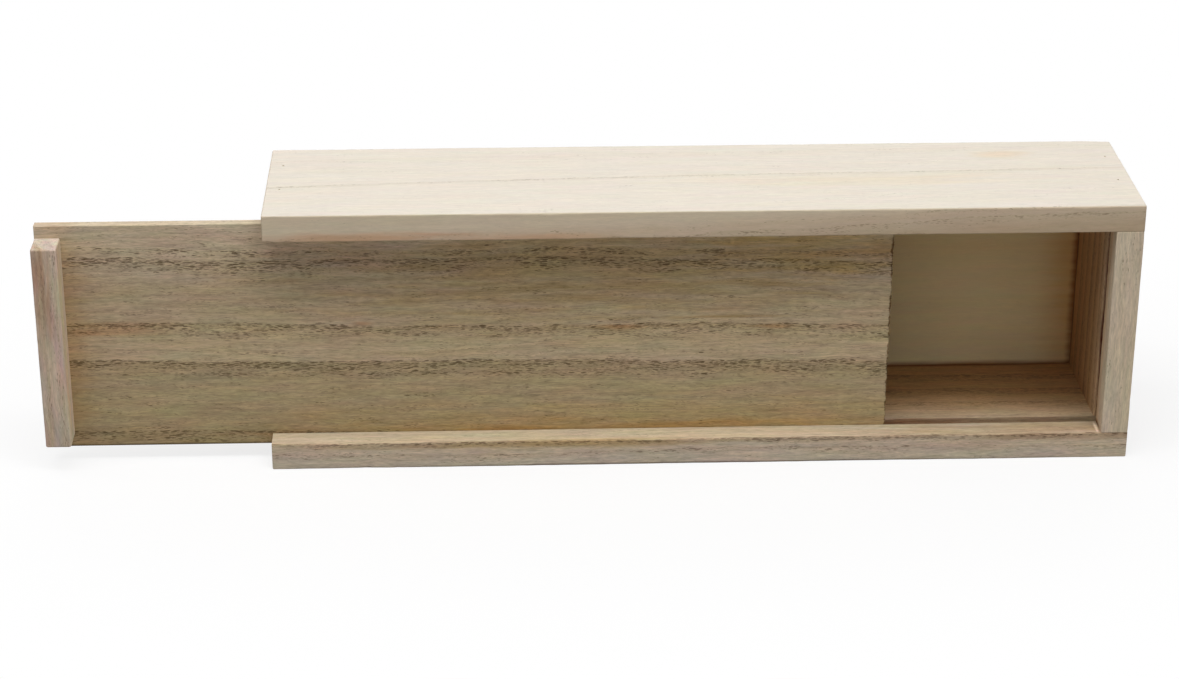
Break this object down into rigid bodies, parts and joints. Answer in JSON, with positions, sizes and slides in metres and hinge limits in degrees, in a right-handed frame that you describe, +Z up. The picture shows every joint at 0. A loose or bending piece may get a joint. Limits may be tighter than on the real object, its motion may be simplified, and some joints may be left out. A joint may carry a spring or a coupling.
{
  "type": "sliding lid box",
  "caption": "Long plain wooden box with a thin lid that slides in grooves and draws off one end, with a finger strip across the lid's outer end.",
  "frame": {"origin": "centre of the lower side wall's outer face, which the box stands on as pictured", "axes": "+Z up, across the lid; +X along the box towards its closed end, so the lid draws out towards -X; -Y is the lid side and +Y the bottom panel"},
  "size_m": [0.398, 0.0687, 0.1],
  "materials": {
    "side_board": "sanded, unfinished pale wood",
    "end_board": "sanded, unfinished pale wood",
    "bottom_board": "planed, unfinished pale wood",
    "lid_board": "planed open-pored wood, unfinished",
    "batten_wood": "sanded, unfinished wood",
    "pin_steel": "dull bright steel"
  },
  "bodies": {
    "box": {"upper_side_wall": "side_board", "lower_side_wall": "side_board", "closed_end_wall": "end_board", "open_end_wall": "end_board", "bottom_panel": "bottom_board", "corner_pins": "pin_steel", "bottom_brads": "pin_steel"},
    "lid": {"lid_panel": "lid_board", "lid_batten": "batten_wood", "batten_pins": "pin_steel"}
  },
  "joints": [
    {"name": "lid_slide", "type": "slide", "parent": "box", "child": "lid", "axis": [-1, 0, 0], "range_m": [-0.082, 0.236]}
  ]
}
